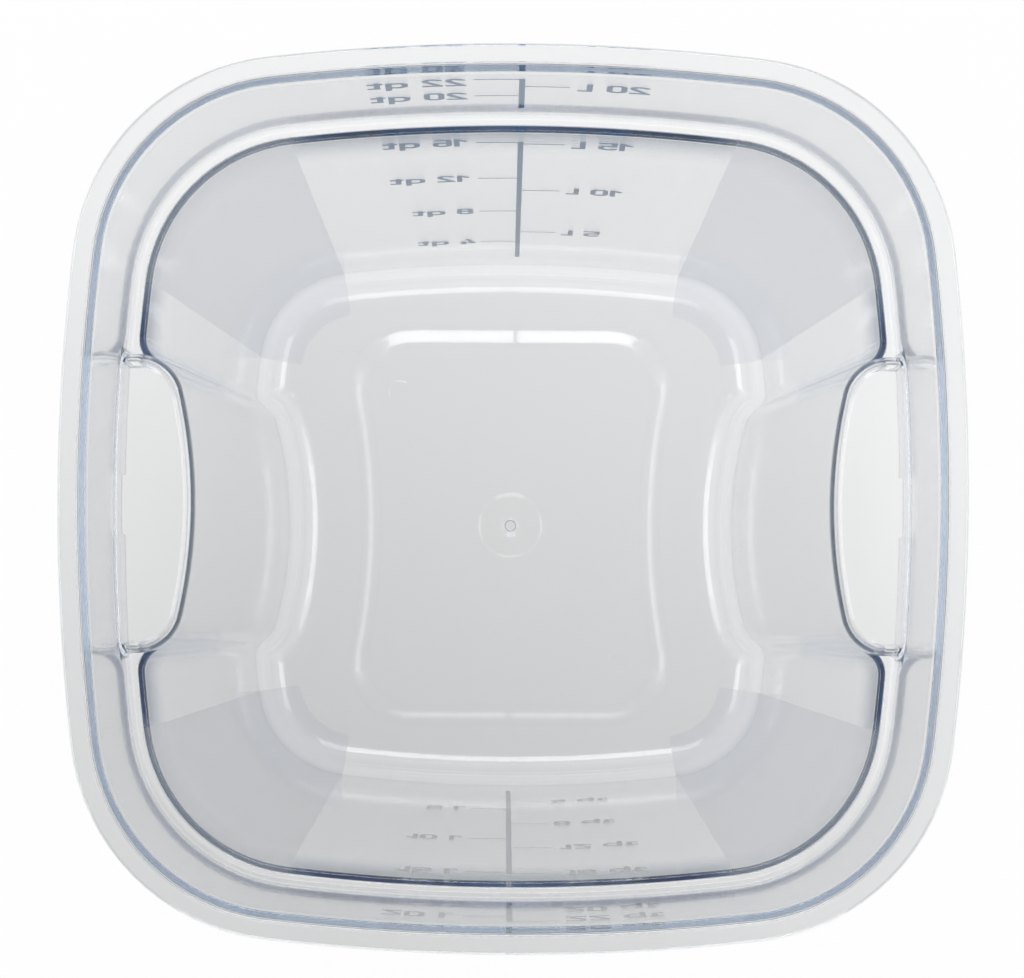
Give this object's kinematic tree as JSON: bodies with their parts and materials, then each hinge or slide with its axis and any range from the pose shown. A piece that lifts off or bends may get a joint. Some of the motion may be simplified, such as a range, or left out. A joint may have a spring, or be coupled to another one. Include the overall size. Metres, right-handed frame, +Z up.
{
  "type": "dough proofing container",
  "caption": "Tall clear square tub for proofing dough or storing food, with an open flanged rim, a stepped wall, moulded-in hand pockets and a volume scale printed on its walls.",
  "frame": {"origin": "centre of the base, on the surface that the tub stands on", "axes": "+Z up to the open mouth; the hand pockets are on the -X and +X sides; the printed walls face -Y (front) and +Y (rear)"},
  "size_m": [0.2868, 0.2868, 0.4],
  "materials": {
    "clear_plastic": "clear injection-moulded polycarbonate, glossy inside, with a faint blue tint seen through its length",
    "printed_ink": "thin screen-printed slate blue ink on the outside of the wall"
  },
  "bodies": {
    "root": {"tub": "clear_plastic", "rear_scale_bar_upper": "printed_ink", "rear_scale_bar_lower": "printed_ink", "rear_quart_ticks": "printed_ink", "rear_quart_numerals": "printed_ink", "rear_quart_letters": "printed_ink", "rear_litre_ticks": "printed_ink", "rear_litre_numerals": "printed_ink", "rear_litre_letters": "printed_ink", "front_scale_bar_upper": "printed_ink", "front_scale_bar_lower": "printed_ink", "front_quart_ticks": "printed_ink", "front_quart_numerals": "printed_ink", "front_quart_letters": "printed_ink", "front_litre_ticks": "printed_ink", "front_litre_numerals": "printed_ink", "front_litre_letters": "printed_ink"}
  },
  "joints": []
}
